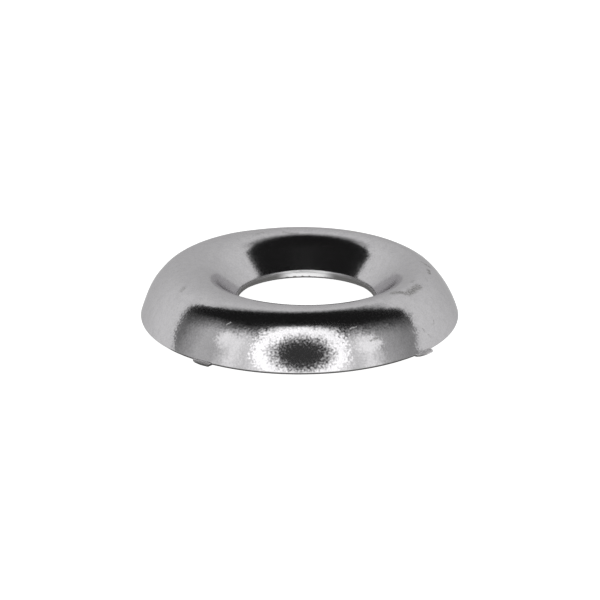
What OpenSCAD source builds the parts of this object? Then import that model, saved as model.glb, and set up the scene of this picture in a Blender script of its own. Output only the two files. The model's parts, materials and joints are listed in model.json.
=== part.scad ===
// Finishing cup washer, pressed from one piece of sheet metal.
// A domed skirt rises from the rim to a rounded crest.
// Inside the crest a countersink for the screw's head runs down to the hole.
// Millimetres. The rim stands on Z = 0, and Z is the axis of the screw.

/* [Cup] */
// Outside diameter of the rim
rim_d = 15; // [14:0.1:17]
// Height of the crest above the rim plane
cup_h = 2.35; // [2.15:0.05:2.8]
// Thickness of the sheet
sheet_t = 0.45; // [0.35:0.05:0.6]
// Rounding of the lower outside edge of the rim
rim_round = 0.1; // [0.05:0.01:0.2]

/* [Crest and skirt] */
// Diameter of the circle along the top of the crest
crest_d = 10.7; // [10.2:0.1:11.2]
// Outside bend radius of the crest
crest_r = 1.55; // [1.2:0.05:1.8]
// Outside radius of the bulge from the crest down to the rim
skirt_r = 4.6; // [3.6:0.1:8]

/* [Countersink and hole] */
// Included angle of the countersink
csk_angle = 88; // [84:1:100]
// Diameter of the hole
hole_d = 6.5; // [6.1:0.1:7.1]
// Rounding where the countersink turns into the hole
hole_round = 0.25; // [0.1:0.05:0.3]
// Height of the straight land in the hole
land_h = 0.15; // [0.05:0.05:0.3]
// Lean of the cut edge below the land, from vertical
cut_angle = 57; // [40:1:65]

/* [Nibs] */
// Number of nibs on the rim, left where the strip was sheared off
nib_n = 2; // [1:1:4]
// Direction of the first nib, from +X
nib_first = 235; // [0:1:359]
// Angle from each nib to the next
nib_step = 83; // [20:1:90]
// Width of a nib
nib_w = 0.95; // [0.6:0.05:1.5]
// Reach of a nib beyond the rim
nib_reach = 0.3; // [0.1:0.05:0.5]
// Thickness of a nib
nib_t = 0.2; // [0.1:0.05:0.35]
// Rounding of the corners of a nib
nib_round = 0.2; // [0.05:0.05:0.3]

/* [Hidden] */

$fn = 128;
// Largest turn between two neighbouring points of an arc
arc_step = 5;

rim_r = rim_d / 2;
hole_r = hole_d / 2;
// Direction in which the countersink's face looks, in the radius and height plane
csk_normal = 180 - csk_angle / 2;

// Centres, as [radius, height], of the crest's bend, the rim's rounding and the hole's rounding
crest_c = [crest_d / 2, cup_h - crest_r];
rim_c = [rim_r - rim_round, rim_round];
hole_c_r = hole_r + hole_round;
hole_c_rise = crest_r - hole_round - (hole_c_r - crest_c.x) * cos(csk_normal);
hole_c = [hole_c_r, crest_c.y + hole_c_rise / sin(csk_normal)];

// The skirt's arc touches the crest's bend and the rim's rounding.
// Its centre is the third corner of a triangle with three known sides.
crest_to_rim = rim_c - crest_c;
rim_span = norm(crest_to_rim);
crest_gap = skirt_r - crest_r;
rim_gap = skirt_r - rim_round;
crest_corner = acos((crest_gap ^ 2 + rim_span ^ 2 - rim_gap ^ 2) / (2 * crest_gap * rim_span));
crest_normal = 180 + atan2(crest_to_rim.y, crest_to_rim.x) - crest_corner;
skirt_c = crest_c - crest_gap * polar(crest_normal);
rim_normal = atan2(rim_c.y - skirt_c.y, rim_c.x - skirt_c.x);
// The inside of the skirt ends in the rim plane
foot_normal = asin(-skirt_c.y / (skirt_r - sheet_t));
foot_r = skirt_c.x + (skirt_r - sheet_t) * cos(foot_normal);

// The land ends at land_end, and the cut edge runs from there to the underside of the countersink
land_end = [hole_r, hole_c.y - land_h];
sheet_left = (land_end - crest_c) * polar(csk_normal) - crest_r + sheet_t;
cut_l = sheet_left / sin(cut_angle + csk_angle / 2);
cut_end = land_end + cut_l * polar(cut_angle - 90);

nib_end_r = rim_r + nib_reach;
// A nib is rooted in the middle of the flat ring on which the rim stands
nib_root_r = (foot_r + rim_c.x) / 2;

function polar(a) = [cos(a), sin(a)];

// Points along an arc about c, from angle a0 to a1, without the first one where skip is 1
function arc(c, r, a0, a1, skip = 0) =
    let (n = ceil(abs(a1 - a0) / arc_step))
    [for (i = [skip : n]) c + r * polar(a0 + (a1 - a0) * i / n)];

// Section of the sheet: over the top from the rim to the hole, then back along the underside
module section() {
    polygon(concat(
        arc(rim_c, rim_round, -90, rim_normal),
        arc(skirt_c, skirt_r, rim_normal, crest_normal, 1),
        arc(crest_c, crest_r, crest_normal, csk_normal, 1),
        arc(hole_c, hole_round, csk_normal, 180),
        [land_end, cut_end],
        arc(crest_c, crest_r - sheet_t, csk_normal, crest_normal),
        arc(skirt_c, skirt_r - sheet_t, crest_normal, foot_normal, 1)
    ));
}

// Plan of one nib that points along +X
module nib_plan() {
    corner_c = [nib_end_r - nib_round, nib_w / 2 - nib_round];
    polygon(concat(
        [[nib_root_r, -nib_w / 2]],
        arc([corner_c.x, -corner_c.y], nib_round, -90, 0),
        arc(corner_c, nib_round, 0, 90),
        [[nib_root_r, nib_w / 2]]
    ));
}

module cup_washer() {
    color("silver") {
        rotate_extrude()
            section();
        for (i = [0 : nib_n - 1])
            rotate(nib_first + i * nib_step)
                linear_extrude(nib_t)
                    nib_plan();
    }
}

cup_washer();
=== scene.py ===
import bpy
import json
import math
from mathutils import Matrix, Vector


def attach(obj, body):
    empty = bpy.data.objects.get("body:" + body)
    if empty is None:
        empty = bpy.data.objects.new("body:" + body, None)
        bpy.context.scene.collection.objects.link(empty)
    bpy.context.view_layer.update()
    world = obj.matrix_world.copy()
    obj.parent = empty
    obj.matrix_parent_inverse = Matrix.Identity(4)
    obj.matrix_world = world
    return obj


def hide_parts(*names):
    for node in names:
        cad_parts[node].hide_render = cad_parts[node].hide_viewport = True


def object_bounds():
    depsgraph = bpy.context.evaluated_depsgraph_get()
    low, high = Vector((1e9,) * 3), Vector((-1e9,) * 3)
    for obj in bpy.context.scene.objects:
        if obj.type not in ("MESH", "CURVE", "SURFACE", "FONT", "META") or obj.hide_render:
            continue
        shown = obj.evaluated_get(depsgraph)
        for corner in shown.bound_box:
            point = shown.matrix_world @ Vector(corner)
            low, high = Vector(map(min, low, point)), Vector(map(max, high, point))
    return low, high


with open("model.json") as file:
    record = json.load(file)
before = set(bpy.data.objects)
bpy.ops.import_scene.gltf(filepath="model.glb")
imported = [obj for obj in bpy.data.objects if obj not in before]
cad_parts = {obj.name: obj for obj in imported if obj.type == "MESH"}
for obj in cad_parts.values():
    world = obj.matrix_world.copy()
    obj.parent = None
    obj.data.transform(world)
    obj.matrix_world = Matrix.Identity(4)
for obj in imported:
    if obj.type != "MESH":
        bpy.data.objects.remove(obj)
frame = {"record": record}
cadLow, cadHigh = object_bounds()
screwHole = next(m for m in frame["record"]["mounts"] if m["name"] == "screw_hole")
mm = 0.001
print("frame loaded, box in mm:", [round(side / mm, 2) for side in cadHigh - cadLow])


# pressed sheet ring: the section runs from the rim over the crest into the hole and back underneath
cup = {
    "turns": 288,                                  # faces round the ring
    "arcStep": 4.0,                                # degrees between two rings on a bend
    "leastSteps": 2,
    "longBend": 3.0,                               # a bend wider than this gets twice the rings
    "sinkRings": 8,                                # rings down the straight countersink
    "rimRadius": min(cadHigh.x, -cadLow.x) / mm,
    "height": cadHigh.z / mm,
    "sheet": 0.45,
    "rimRound": 0.1,
    "crestRadius": 5.35,                           # circle along the top of the crest
    "crestBend": 1.55,
    "skirtBend": 4.6,
    "countersink": 88,                             # included angle
    "holeRadius": screwHole["dims"]["r_mm"],
    "holeRound": 0.25,
    "land": screwHole["dims"]["length_mm"],
    "cutAngle": 57,
    "punchOff": 0.31,                              # the punch met the sheet this far to the right
    "punchArea": (5.0, 1.2),                       # inside this radius all moves, then it fades over this
    "leftFull": (-0.09, 0.06, 0),                  # the left rear shoulder is pushed out this far
    "leftArea": ((-3.4, 1.2), 1.5, 1.7),           # its right and front ends, its lowest level, the fade
    "leftSteep": 0.45,                             # how far a face there leans outwards at least
    "edgeSoft": 0.025,                             # tiny rounding of the cut edges
    "edgeSteps": 2,
    "edgeSharp": 30,                               # degrees above which an edge gets it
    "smoothBelow": 40,                             # degrees below which two faces shade as one
    "mergeGap": 0.0005,                            # rings closer than this are one
}
nibs = {
    "places": ((235, 0.9), (318, 0.5)),            # angle from +X, side to which the nib narrows
    "width": 0.95,
    "thick": 0.17,
    "facing": 0.1,                                 # faces that look outwards more than this are drawn out
    "steps": (                                     # reach beyond the rim, width and height left
        (0.1, 1.0, 0.96),
        (0.18, 0.92, 0.9),
        (0.25, 0.78, 0.82),
        (0.3, 0.52, 0.74),
    ),
}


def polar(angle, radius=1.0):
    return Vector((math.cos(math.radians(angle)), math.sin(math.radians(angle)))) * radius


def bend(centre, radius, start, end, skipFirst=False):
    steps = max(cup["leastSteps"], math.ceil(abs(end - start) / cup["arcStep"]))
    if radius > cup["longBend"]:
        steps *= 2
    turn = (end - start) / steps
    return [centre + polar(start + turn * i, radius) for i in range(int(skipFirst), steps + 1)]


def angleOf(v):
    return math.degrees(math.atan2(v.y, v.x))


def sheetSection():
    crest = Vector((cup["crestRadius"], cup["height"] - cup["crestBend"]))
    rim = Vector((cup["rimRadius"] - cup["rimRound"], cup["rimRound"]))
    sinkAngle = 180 - cup["countersink"] / 2
    sink = polar(sinkAngle)
    holeX = cup["holeRadius"] + cup["holeRound"]
    rise = cup["crestBend"] - cup["holeRound"] - (holeX - crest.x) * sink.x
    hole = Vector((holeX, crest.y + rise / sink.y))
    # the skirt's arc touches the crest's bend and the rim's rounding
    span = rim - crest
    crestGap = cup["skirtBend"] - cup["crestBend"]
    rimGap = cup["skirtBend"] - cup["rimRound"]
    apex = (crestGap ** 2 + span.length ** 2 - rimGap ** 2) / (2 * crestGap * span.length)
    crestAngle = 180 + angleOf(span) - math.degrees(math.acos(apex))
    skirt = crest - polar(crestAngle, crestGap)
    rimAngle = angleOf(rim - skirt)
    inner = cup["skirtBend"] - cup["sheet"]
    footAngle = math.degrees(math.asin(-skirt.y / inner))
    landEnd = Vector((cup["holeRadius"], hole.y - cup["land"]))
    left = (landEnd - crest).dot(sink) - cup["crestBend"] + cup["sheet"]
    cutLength = left / math.sin(math.radians(cup["cutAngle"] + cup["countersink"] / 2))
    cutEnd = landEnd + polar(cup["cutAngle"] - 90, cutLength)
    under = cup["crestBend"] - cup["sheet"]
    points = bend(rim, cup["rimRound"], -90, rimAngle)
    points += bend(skirt, cup["skirtBend"], rimAngle, crestAngle, True)
    points += bend(crest, cup["crestBend"], crestAngle, sinkAngle, True)
    sinkStart = points[-1]
    sinkEnd = hole + polar(sinkAngle, cup["holeRound"])
    rings = cup["sinkRings"]
    points += [sinkStart.lerp(sinkEnd, i / rings) for i in range(1, rings)]
    points += bend(hole, cup["holeRound"], sinkAngle, 180)
    points += [landEnd, landEnd.lerp(cutEnd, 0.5), cutEnd]
    points += bend(crest, under, sinkAngle, crestAngle)
    points += bend(skirt, inner, crestAngle, footAngle, True)
    points += [points[0]]
    return points, rimAngle, sinkEnd, landEnd, cutEnd


def deselectAll():
    if bpy.context.object and bpy.context.object.mode == "EDIT":
        bpy.ops.object.mode_set(mode="OBJECT")
    bpy.ops.object.select_all(action="DESELECT")


def pick(piece, kind, test):
    # selects faces or vertices by place, then goes back to edit mode
    bpy.ops.object.mode_set(mode="EDIT")
    bpy.context.tool_settings.mesh_select_mode = (kind == "vertices", False, kind == "faces")
    bpy.ops.mesh.select_all(action="DESELECT")
    bpy.ops.object.mode_set(mode="OBJECT")
    items = piece.data.polygons if kind == "faces" else piece.data.vertices
    for item in items:
        item.select = test(item)
    count = sum(item.select for item in items)
    bpy.ops.object.mode_set(mode="EDIT")
    return count


def makeCup(section):
    deselectAll()
    last = section[0]
    bpy.ops.mesh.primitive_circle_add(vertices=cup["turns"], radius=last.x * mm, location=(0, 0, last.y * mm))
    piece = bpy.context.object
    piece.name = piece.data.name = "pressedCup"
    bpy.ops.object.transform_apply(location=True, rotation=True, scale=True)
    bpy.ops.object.mode_set(mode="EDIT")
    bpy.context.tool_settings.mesh_select_mode = (False, True, False)
    bpy.ops.mesh.select_all(action="SELECT")
    for point in section[1:]:                      # each ring is drawn out of the one before
        bpy.ops.mesh.extrude_edges_move(TRANSFORM_OT_translate={"value": (0, 0, (point.y - last.y) * mm)})
        grow = point.x / last.x
        bpy.ops.transform.resize(value=(grow, grow, 1), center_override=(0, 0, point.y * mm))
        last = point
    bpy.ops.mesh.select_all(action="SELECT")
    bpy.ops.mesh.remove_doubles(threshold=cup["mergeGap"] * mm)
    bpy.ops.mesh.normals_make_consistent(inside=False)
    print("cup swept,", len(section), "rings")
    return piece


def makeNibs(piece):
    half = nibs["width"] / 2 * mm
    for angle, lean in nibs["places"]:
        out = polar(angle).to_3d()
        side = Vector((-out.y, out.x, 0))

        def onNib(face):
            near = abs(face.center.dot(side)) < half and face.center.dot(out) > 0
            low = face.center.z < nibs["thick"] * mm
            return near and low and face.normal.dot(out) > nibs["facing"]
        found = pick(piece, "faces", onNib)
        bpy.ops.object.mode_set(mode="OBJECT")
        piece.rotation_euler.z = math.radians(-angle)
        bpy.context.view_layer.update()
        bpy.ops.object.mode_set(mode="EDIT")
        reach, width, height = 0, 1, 1
        for nextReach, nextWidth, nextHeight in nibs["steps"]:
            outwards = ((nextReach - reach) * mm, 0, 0)
            bpy.ops.mesh.extrude_region_move(TRANSFORM_OT_translate={"value": outwards})
            squeeze = (1, nextWidth / width, nextHeight / height)
            bpy.ops.transform.resize(value=squeeze, center_override=(0, lean * half, 0))
            reach, width, height = nextReach, nextWidth, nextHeight
        bpy.ops.object.mode_set(mode="OBJECT")
        piece.rotation_euler.z = 0
        print("nib at", angle, "drawn out of", found, "faces")


def letWander(piece):
    punchRadius, punchFade = cup["punchArea"]
    (rightEnd, frontEnd), lowest, leftFade = cup["leftArea"]

    def inPunch(face):
        return face.center.xy.length < punchRadius * mm

    def onLeftShoulder(face):
        left = face.center.x < rightEnd * mm and face.center.y > frontEnd * mm
        steep = face.normal.xy.dot(face.center.xy.normalized()) > cup["leftSteep"]
        return left and steep and face.center.z > lowest * mm
    moves = (inPunch, (cup["punchOff"], 0, 0), punchFade), (onLeftShoulder, cup["leftFull"], leftFade)
    for test, shift, fade in moves:
        pick(piece, "faces", test)
        bpy.ops.transform.translate(
            value=Vector(shift) * mm, use_proportional_edit=True, use_proportional_connected=True,
            proportional_edit_falloff="SMOOTH", proportional_size=fade * mm)
    bpy.ops.object.mode_set(mode="OBJECT")
    print("countersink set off the middle, left shoulder filled out")


def softenEdges(piece):
    bpy.ops.object.mode_set(mode="OBJECT")
    soft = piece.modifiers.new("edgeSoft", "BEVEL")
    soft.width = cup["edgeSoft"] * mm
    soft.segments = cup["edgeSteps"]
    soft.limit_method = "ANGLE"
    soft.angle_limit = math.radians(cup["edgeSharp"])
    bpy.ops.object.modifier_apply(modifier=soft.name)
    # nothing hangs below the rim plane
    pick(piece, "vertices", lambda point: point.co.z < 0)
    bpy.ops.transform.resize(value=(1, 1, 0), center_override=(0, 0, 0))
    bpy.ops.object.mode_set(mode="OBJECT")
    bpy.ops.object.shade_smooth_by_angle(angle=math.radians(cup["smoothBelow"]))
    print("edges softened,", len(piece.data.polygons), "faces")


section, rimLean, lipEnd, landEnd, cutEnd = sheetSection()
pressedCup = makeCup(section)
makeNibs(pressedCup)
letWander(pressedCup)
softenEdges(pressedCup)


class Wire:
    # one socket of a node tree; arithmetic on it adds Math nodes
    def __init__(self, tree, socket):
        self.tree = tree
        self.socket = socket

    @classmethod
    def node(cls, tree, kind, settings=None, sockets=None, out=0):
        made = tree.nodes.new(kind)
        for name, value in (settings or {}).items():
            if name == "stops":
                ramp = made.color_ramp
                ramp.interpolation = "LINEAR"
                for place, _ in value[1:-1]:
                    ramp.elements.new(place)
                for element, (place, level) in zip(ramp.elements, value):
                    element.position = place
                    element.color = (level, level, level, 1)
            else:
                setattr(made, name, value)
        for name, value in (sockets or {}).items():
            if isinstance(value, Wire):
                tree.links.new(value.socket, made.inputs[name])
            else:
                made.inputs[name].default_value = value
        return cls(tree, made.outputs[out] if len(made.outputs) else None)

    def math(self, operation, *others):
        sockets = dict(enumerate((self, *others)))
        return Wire.node(self.tree, "ShaderNodeMath", {"operation": operation}, sockets)

    def __add__(self, other):
        return self.math("ADD", other)

    def __mul__(self, other):
        return self.math("MULTIPLY", other)

    def __sub__(self, other):
        return self.math("SUBTRACT", other)

    def __rsub__(self, other):
        return Wire.node(self.tree, "ShaderNodeMath", {"operation": "SUBTRACT"}, {0: other, 1: self})

    def __pow__(self, other):
        return self.math("POWER", other)

    def __truediv__(self, other):
        return self.math("DIVIDE", other)

    __radd__ = __add__
    __rmul__ = __mul__

    def step(self, low, high):
        # soft step from 0 at low to 1 at high
        sockets = {"Value": self, "From Min": low, "From Max": high}
        return Wire.node(self.tree, "ShaderNodeMapRange", {"interpolation_type": "SMOOTHSTEP"}, sockets)


# bright plated steel: fine pressed grain, slight clouding, a painted highlight on the back of the hole edge
# with painted shade to its sides, and dull cut edges with painted shade on them
plate = {
    "colour": (0.7, 0.69, 0.705, 1),
    "cloudy": 0.82,                                # share of the colour left where the plating is dull
    "cloud": (0.45, 3, 0.6),                       # cells per mm, detail, share in the dulling
    "mottle": ((12.0, 1, 1.2), (3.0, 2, 1.0)),     # the same for two finer patterns
    "grazing": (0.84, 0.835, 0.84, 1),             # reflectance at grazing angles
    "roughness": 0.14,
    "roughSpread": 0.06,                           # change of it with the clouds
    "skirtShine": 0.03,                            # the skirt is smoother by this
    "skirt": ((5.0, 5.6), (1.3, 2.0)),             # fades in outwards, and out towards the crest
    "grain": (11.0, 0.135),                        # cells per mm, tilt of the surface
    "ironed": 0.3,                                 # share of the grain left on the crest and inside it
    "grainSpan": ((1.9, 3.3), 0.35),               # on the skirt it fades to each side, to this share
    "peel": (2.5, 0.025),                          # a broader unevenness, as for the grain
    "lip": ((1.0, 1.0, 1.0, 1), 0.45),             # painted highlight on the back of the hole's edge: colour, roughness
    "lipSpan": (0.3, (0.5, 1.5), (0, 1)),          # its middle, fade to each side, fade in towards the back
    "lipRise": (0.03, 0.13, 0.18),                 # fade above the cut, then where it ends above the land
    "lipFade": 0.05,                               # fade into the countersink
    "land": ((0.27, 0.266, 0.262, 1), 0.7),        # painted shade on the edge of the hole to the sides: colour, roughness
    "landRise": (-0.04, 0.21),                     # fades out between these, above the land
    "burr": ((9.0, 1, (0.5, 0.6)), 0.06),          # flecks of painted shade on the lip's lower edge, under the painted highlight, height
    "cut": ((0.1, 0.098, 0.096, 1), 0.5),          # sheared edges: dull bare steel, darkened further as painted shade
    "cutFade": (0.02, 0.03),                       # outwards and upwards
    "rimEdge": ((0.002, 0.02), (0.08, 0.13)),      # lower and upper fade of the painted shade along the rim's lower edge
    "rimDull": (0.055, (-5.25, -4.85)),            # the painted shade lies in front of a line, on the front only: slant, fade
    "torn": ((0.97, 0.96, 0.97, 1), 0.7),          # nibs
    "tornReach": (0.05, 0.08),                     # fades in this far outside the skirt
    "mark": ((0.25, 0.245, 0.235, 1), 0.4),        # scuffs
    "markEdge": (0.3, 1.5),                        # fades between these shares of its half width
    "fray": (7.0, 3, 0.3),                         # frayed edges: cells per mm, detail, depth
    "speckle": ((14.0, 2, (0.4, 0.6)), 0.3),       # flecks that break up the scuffs, strength between them
    "scratch": ((0.9, 0.9, 0.9, 1), 0.6),          # fine bright scratches
    "scratchFray": 0.1,                            # share of the fraying that they get
}
# where the plate is scuffed: places along the mark, half its width, strength
scuffs = (
    (((4.2, -3.61, 2.34), (4.57, -3.41, 2.31), (4.75, -3.42, 2.26), (4.94, -3.32, 2.23)), 0.15, 0.85),
    (((4.94, -3.32, 2.23), (5.14, -2.96, 2.23), (5.25, -2.73, 2.24), (5.45, -2.42, 2.22)), 0.19, 0.85),
    (((5.14, -2.19, 2.33), (5.2, -1.94, 2.34)), 0.072, 0.36),
    (((5.95, 0.52, 2.22), (6.09, 0.42, 2.15)), 0.12, 0.9),
    (((6.05, -0.19, 2.18), (6.07, -0.53, 2.16)), 0.11, 0.9),
    (((5.75, 0.62, 2.28), (5.79, 0.62, 2.28)), 0.09, 0.7),
    (((5.88, -1.3, 2.19), (5.87, -1.51, 2.18)), 0.072, 0.27),
    (((6.08, -3.64, 1.04), (6.08, -3.83, 0.87)), 0.065, 0.54),
    (((5.58, -4.47, 0.93), (5.63, -4.49, 0.84)), 0.065, 0.45),
    (((5.82, -4.39, 0.65), (5.91, -4.35, 0.54)), 0.058, 0.36),
    (((-5.38, -2.8, 2.16), (-5.3, -2.62, 2.24)), 0.14, 0.55),
    (((-2.12, 4.53, 2.32), (-1.83, 4.78, 2.34)), 0.12, 0.3),
    (((-0.79, 4.88, 2.3), (-0.15, 4.84, 2.27)), 0.1, 0.35),
    (((3.13, -6.29, 1.15), (3.4, -6.13, 1.17)), 0.058, 0.72),
)
scratches = (
    (((-3.23, -5.78, 1.7), (-3.05, -5.78, 1.8)), 0.03, 0.8),
    (((2.24, -6.23, 1.69), (2.51, -6.1, 1.73)), 0.03, 0.6),
)


def plateMaterial():
    material = bpy.data.materials.new("brightPlate")
    material.use_nodes = True
    tree = material.node_tree
    tree.nodes.clear()
    place = Wire.node(tree, "ShaderNodeTexCoord", out="Object")
    place = Wire.node(tree, "ShaderNodeVectorMath", {"operation": "SCALE"}, {0: place, "Scale": 1 / mm})
    x, y, z = (Wire.node(tree, "ShaderNodeSeparateXYZ", {}, {0: place}, axis) for axis in "XYZ")
    radius = (x * x + y * y) ** 0.5
    holeRadius = ((x - cup["punchOff"]) ** 2 + y * y) ** 0.5

    def noise(scale, detail, out="Fac"):
        sockets = {"Vector": place, "Scale": scale, "Detail": detail}
        return Wire.node(tree, "ShaderNodeTexNoise", {}, sockets, out)

    def swing(scale, detail, amount):
        # noise about zero
        return (noise(scale, detail) - 0.5) * amount

    def flecks(scale, detail, edge):
        # noise cut at a soft edge
        return noise(scale, detail).step(*edge)

    def vector(operation, *values):
        return Wire.node(tree, "ShaderNodeVectorMath", {"operation": operation}, dict(enumerate(values)))

    def scaled(values, amount):
        return Wire.node(tree, "ShaderNodeVectorMath", {"operation": "SCALE"}, {0: values, "Scale": amount})

    def measured(operation, *values):
        # a number from vectors, such as a length
        return Wire.node(tree, "ShaderNodeVectorMath", {"operation": operation}, dict(enumerate(values)), 1)

    def worn(marks, fray):
        # strength of the marks at each place, their edges frayed
        core, edge = plate["markEdge"]
        strength = None
        for places, half, most in marks:
            for start, end in zip(places, places[1:]):
                along = Vector(end) - Vector(start)
                reach = vector("SUBTRACT", place, start)
                share = measured("DOT_PRODUCT", reach, along / along.length_squared)
                foot = scaled(along, share.math("MAXIMUM", 0).math("MINIMUM", 1))
                away = measured("LENGTH", vector("SUBTRACT", reach, foot)) + fray
                mark = (1 - away.step(half * core, half * edge)) * most
                strength = mark if strength is None else strength.math("MAXIMUM", mark)
        return strength

    def blend(factor, first, second):
        sockets = {0: factor, 6: first, 7: second}
        return Wire.node(tree, "ShaderNodeMix", {"data_type": "RGBA"}, sockets, 2)

    def tilt(scale, amount):
        # the noise colour, centred, leans the surface normal
        return scaled(vector("SUBTRACT", noise(scale, 0, "Color"), (0.5, 0.5, 0.5)), amount)

    surface = Wire.node(tree, "ShaderNodeNewGeometry", out="Normal")
    outwards, upwards = plate["skirt"]
    skirt = radius.step(*outwards) * (1 - z.step(*upwards))
    cells, most = plate["grain"]
    sideFade, least = plate["grainSpan"]
    aside = x.math("ABSOLUTE").step(*sideFade)
    coarse = plate["ironed"] + skirt * (1 - aside * (1 - least)) * (1 - plate["ironed"])
    lean = vector("ADD", tilt(cells, coarse * most), tilt(*plate["peel"]))
    normal = vector("NORMALIZE", vector("ADD", surface, lean))

    # the hole's edge: a painted highlight at the back, painted shade to the sides, with flecks of painted
    # shade below
    landTop = landEnd.y + cup["land"]
    inHole = 1 - holeRadius.step(lipEnd.x, lipEnd.x + plate["lipFade"])
    middle, sideFade, backFade = plate["lipSpan"]
    # span of the painted highlight: the middle of the back of the hole
    lipHighlightSpan = (1 - (x - middle).math("ABSOLUTE").step(*sideFade)) * y.step(*backFade)
    foot, top, gone = plate["lipRise"]
    # painted highlight along the back of the hole's edge
    lip = inHole * z.step(landEnd.y, landEnd.y + foot) * (1 - z.step(landTop + top, landTop + gone)) * lipHighlightSpan
    top, gone = plate["landRise"]
    # painted shade on the hole's edge to the sides of the painted highlight
    land = inHole * (1 - z.step(landTop + top, landTop + gone)) * (1 - lipHighlightSpan)
    pattern, burrHeight = plate["burr"]
    # dark flecks of painted shade below the painted highlight
    burr = inHole * lipHighlightSpan * (1 - z.step(landEnd.y, landEnd.y + burrHeight)) * flecks(*pattern)

    # sheared edge of the hole, dull bare steel with painted shade on it; painted shade at the foot of the
    # rim's front; and the nibs
    across, above = plate["cutFade"]
    underLand = 1 - z.step(landEnd.y - above, landEnd.y)
    shearedAndShaded = (1 - holeRadius.step(cutEnd.x - across, cutEnd.x + across)) * underLand
    # painted shade along the lower edge of the rim, on the front only
    lower, upper = plate["rimEdge"]
    slant, rimShadeFade = plate["rimDull"]
    rimEdge = z.step(*lower) * (1 - z.step(*upper)) * (1 - (y + x * slant).step(*rimShadeFade))
    cut = (shearedAndShaded + rimEdge + burr).math("MINIMUM", 1)
    torn = (radius + z * math.tan(math.radians(rimLean)) - cup["rimRadius"]).step(*plate["tornReach"])

    fray = swing(*plate["fray"])
    pattern, least = plate["speckle"]
    scuffed = worn(scuffs, fray) * (least + flecks(*pattern) * (1 - least))
    scratched = worn(scratches, fray * plate["scratchFray"])

    scale, detail, share = plate["cloud"]
    cloud = noise(scale, detail)
    dull = cloud * share
    for pattern in plate["mottle"]:
        dull = dull + swing(*pattern)
    tint = blend(dull, plate["colour"], tuple(c * plate["cloudy"] for c in plate["colour"][:3]) + (1,))
    rough = plate["roughness"] + (cloud - 0.5) * plate["roughSpread"] - skirt * plate["skirtShine"]
    # the hole's edge gets painted shade and a painted highlight, the cut edges painted shade over their dull
    # steel
    finishes = {"land": land, "lip": lip, "torn": torn, "cut": cut, "mark": scuffed, "scratch": scratched}
    for finish, mask in finishes.items():
        colour, level = plate[finish]
        tint = blend(mask, tint, colour)
        rough = rough + mask * (level - rough)
    shader = Wire.node(tree, "ShaderNodeBsdfPrincipled", {}, {
        "Base Color": tint,
        "Metallic": 1.0,
        "Roughness": rough,
        "Specular Tint": plate["grazing"],
        "Normal": normal,
    })
    Wire.node(tree, "ShaderNodeOutputMaterial", {}, {"Surface": shader})
    return material


pressedCup.data.materials.clear()
pressedCup.data.materials.append(plateMaterial())
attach(pressedCup, "root")
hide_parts("cup_washer")
print("plate finish on the cup")


# pale floor in a small light tent: bright back, dark top, side panels, round soft light about the lens
studio = {
    "floorSize": 2.0,
    "floorGap": 0.02 * mm,                         # the floor lies this far under the rim
    "floorColour": (0.5, 0.5, 0.5, 1),
    "floorFinish": (0.9, 0.1),                     # roughness, specular level
    "floorGlow": 0.9,                              # the floor is lit from below as well
    "overhead": (0.6, 0.5, 1.2),                   # height, side and watts of the light for the floor alone
    "outside": 0.6,                                # brightness of the room around the tent
}
tent = {
    "radius": 55,                                  # mm
    "facets": (32, 16),                            # round it, and from top to bottom
    "top": 0.011,                                  # brightness of the dark top
    "turn": -4.0,                                  # the tent is turned a little to the left
    "sweep": 0.75,                                 # brightness of the back
    "sweepFall": 0.28,                             # share it loses towards the middle of the back
    "sweepEdge": (0.456, -0.11, 0.09),             # front edge: lean, where it starts, softness
    "sweepTop": (0.76, 0.93),                      # fades out upwards between these
    "panelTop": (0.696, -0.676, 0.933, 0.35),      # arch: height, start and length of its fall, softness
    "panel": [                                     # azimuth from the lens, brightness
        (-180, 0.29), (-104, 0.29), (-92, 0.16), (-84, 0.33), (-72, 0.55), (-60, 0.5), (-53, 0.75),
        (-47, 1.1), (-42, 0.9), (-38, 0.75), (-30, 0.97), (30, 1.1), (37, 0.7), (42, 0.8), (48, 1.1),
        (54, 0.75), (60, 0.47), (72, 0.36), (84, 0.25), (92, 0.36), (180, 0.36),
    ],
    "lights": (                                    # azimuth, elevation, outer and inner half angle, level
        (0.5, 28.2, 36.0, 27.5, 1.58),
        (-54.5, 31, 14, 2, 1.05),
        (50, 28, 15, 2, 1.15),
    ),
    "hood": (1.6, 29.3, 25.2, 10.3, 0.03),         # the same for the dark lens in the first one
}


def direction(azimuth, elevation):
    # azimuth 0 looks at the camera's side, positive to the right
    a, e = math.radians(azimuth), math.radians(elevation)
    return Vector((math.sin(a) * math.cos(e), -math.cos(a) * math.cos(e), math.sin(e)))


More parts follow.
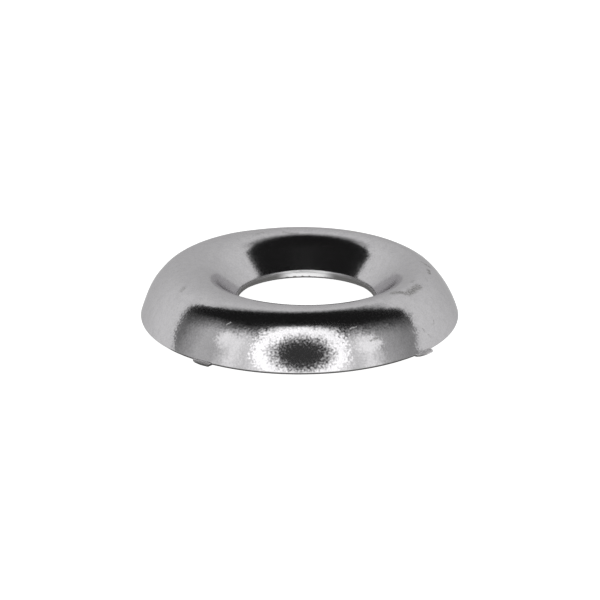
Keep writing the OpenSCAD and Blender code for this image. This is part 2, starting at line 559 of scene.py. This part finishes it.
def tentMaterial():
    material = bpy.data.materials.new("tentLight")
    material.use_nodes = True
    tree = material.node_tree
    tree.nodes.clear()
    look = Wire.node(tree, "ShaderNodeTexCoord", out="Object")
    look = Wire.node(tree, "ShaderNodeVectorMath", {"operation": "NORMALIZE"}, {0: look})
    x, y, z = (Wire.node(tree, "ShaderNodeSeparateXYZ", {}, {"Vector": look}, axis) for axis in "XYZ")
    back = -direction(tent["turn"], 0)
    depth = x * back.x + y * back.y
    lean, start, soft = tent["sweepEdge"]
    flank = (depth - z * lean).step(start, start + soft)
    behind = flank * (1 - z.step(*tent["sweepTop"])) * (1 - depth * depth * tent["sweepFall"])

    def disc(azimuth, elevation, outer, inner):
        way = direction(azimuth, elevation)
        facing = x * way.x + y * way.y + z * way.z
        return facing.step(math.cos(math.radians(outer)), math.cos(math.radians(inner)))

    height, fall, length, blur = tent["panelTop"]
    arch = (z.math("MAXIMUM", 0) / height) ** 2 + ((depth - fall).math("MAXIMUM", 0) / length) ** 2
    around = x.math("ARCTAN2", y * -1) / (2 * math.pi) + 0.5
    peak = max(level for _, level in tent["panel"])
    stops = [((angle + 180) / 360, level / peak) for angle, level in tent["panel"]]
    panel = Wire.node(tree, "ShaderNodeValToRGB", {"stops": stops}, {"Fac": around}) * peak
    panel = panel * (1 - arch.step(1 - blur, 1 + blur))
    for *light, level in tent["lights"]:
        panel = panel.math("MAXIMUM", disc(*light) * level)
    *lens, level = tent["hood"]
    hood = disc(*lens)
    front = panel * (1 - hood) + hood * level
    glow = tent["top"] + behind * tent["sweep"] + front * (1 - flank)
    shader = Wire.node(tree, "ShaderNodeBsdfPrincipled", {}, {
        "Base Color": (0, 0, 0, 1),
        "Roughness": 1.0,
        "Specular IOR Level": 0.0,
        "Emission Color": glow,
        "Emission Strength": 1.0,
    })
    Wire.node(tree, "ShaderNodeOutputMaterial", {}, {"Surface": shader})
    return material


def makeTent():
    deselectAll()
    segments, rings = tent["facets"]
    bpy.ops.mesh.primitive_uv_sphere_add(
        segments=segments, ring_count=rings, radius=tent["radius"] * mm, location=(0, 0, 0))
    shell = bpy.context.object
    shell.name = shell.data.name = "lightTent"
    shell.visible_camera = shell.visible_shadow = False
    shell.data.materials.append(tentMaterial())
    room = bpy.data.worlds.new("room")
    bpy.context.scene.world = room
    room.use_nodes = True
    sky = room.node_tree.nodes["Background"].inputs
    sky["Color"].default_value = (1, 1, 1, 1)
    sky["Strength"].default_value = studio["outside"]


def makeStudio():
    deselectAll()
    bpy.ops.mesh.primitive_plane_add(size=studio["floorSize"], location=(0, 0, -studio["floorGap"]))
    floor = bpy.context.object
    floor.name = floor.data.name = "paleFloor"
    floor.visible_glossy = False                   # the plate mirrors the tent alone
    paint = bpy.data.materials.new("matteFloor")
    paint.use_nodes = True
    shader = paint.node_tree.nodes["Principled BSDF"]
    dullness, gloss = studio["floorFinish"]
    shader.inputs["Base Color"].default_value = studio["floorColour"]
    shader.inputs["Roughness"].default_value = dullness
    shader.inputs["Specular IOR Level"].default_value = gloss
    shader.inputs["Emission Color"].default_value = (1, 1, 1, 1)
    shader.inputs["Emission Strength"].default_value = studio["floorGlow"]
    floor.data.materials.append(paint)
    high, side, watts = studio["overhead"]
    deselectAll()
    bpy.ops.object.light_add(type="AREA", location=(0, 0, high))
    over = bpy.context.object
    over.name = over.data.name = "overhead"
    over.data.size = side
    over.data.energy = watts
    over.visible_camera = over.visible_glossy = False
    makeTent()
    print("studio lit")


makeStudio()


# long lens, a little above the rim
camera = {
    "lens": 113.9,
    "distance": 0.09,
    "elevation": 21.2,
    "lift": 0.58 * mm,                             # aim above the middle of the rim, in the picture
    "side": 0.02 * mm,
    "nearest": 5 * mm,                             # nothing closer is drawn
}


def makeCamera():
    deselectAll()
    way = direction(0, camera["elevation"])
    spin = way.to_track_quat("Z", "Y")
    aim = spin @ Vector((camera["side"], camera["lift"], 0))
    bpy.ops.object.camera_add(location=aim + way * camera["distance"], rotation=spin.to_euler())
    eye = bpy.context.object
    eye.name = "photoCamera"
    eye.data.lens = camera["lens"]
    eye.data.clip_start = camera["nearest"]
    bpy.context.scene.camera = eye
    bpy.context.scene.view_settings.view_transform = "Standard"
    print("camera set")


makeCamera()
